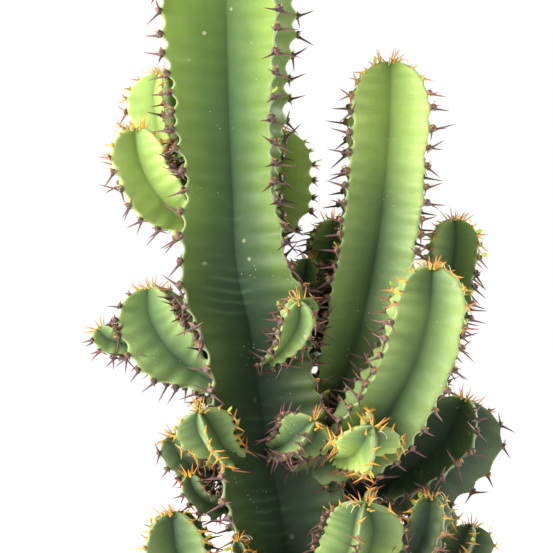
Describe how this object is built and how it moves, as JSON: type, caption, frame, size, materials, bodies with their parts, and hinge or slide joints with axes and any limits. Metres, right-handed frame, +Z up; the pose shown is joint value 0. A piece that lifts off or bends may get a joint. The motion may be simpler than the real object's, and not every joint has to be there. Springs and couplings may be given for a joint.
{
  "type": "potted candelabra euphorbia",
  "caption": "Spiny ribbed succulent with a tall trunk and upturned arms, planted in gritty soil in a tapered round clay pot with a rim band.",
  "frame": {"origin": "centre of the pot's underside, on the surface it stands on", "axes": "+Z up along the pot's axis, -Y towards the side seen from the front, +X to the right of that view"},
  "size_m": [0.2076, 0.19, 0.6],
  "materials": {
    "fired_clay": "matte",
    "soil": "matte",
    "trunk_skin": "satin",
    "arm_skin": "satin",
    "spine": "satin",
    "leaflet": "satin",
    "grit": "matte"
  },
  "bodies": {
    "root": {"pot": "fired_clay", "potting_soil": "soil", "trunk": "trunk_skin", "arm_right_tall": "arm_skin", "arm_right_front": "arm_skin", "arm_right_back": "arm_skin", "arm_right_low_broad": "arm_skin", "arm_front_pale": "arm_skin", "arm_front_low": "arm_skin", "arm_right_low_small": "arm_skin", "arm_right_low_outer": "arm_skin", "offset_crook_front": "arm_skin", "offset_front_star": "arm_skin", "arm_crook_short": "arm_skin", "arm_crook_back": "arm_skin", "arm_back_pale": "arm_skin", "arm_left_high_back": "arm_skin", "arm_left_high": "arm_skin", "arm_left_middle": "arm_skin", "offset_left_outer": "arm_skin", "offset_left_front": "arm_skin", "offset_left_upper": "arm_skin", "offset_left_lower": "arm_skin", "arm_left_low": "arm_skin", "bud_left_low": "arm_skin", "arm_back_middle": "arm_skin", "arm_back_low": "arm_skin", "arm_back_right_low": "arm_skin", "arm_right_back_low": "arm_skin", "arm_left_back_low": "arm_skin", "arm_front_lowest": "arm_skin"}
  },
  "joints": []
}
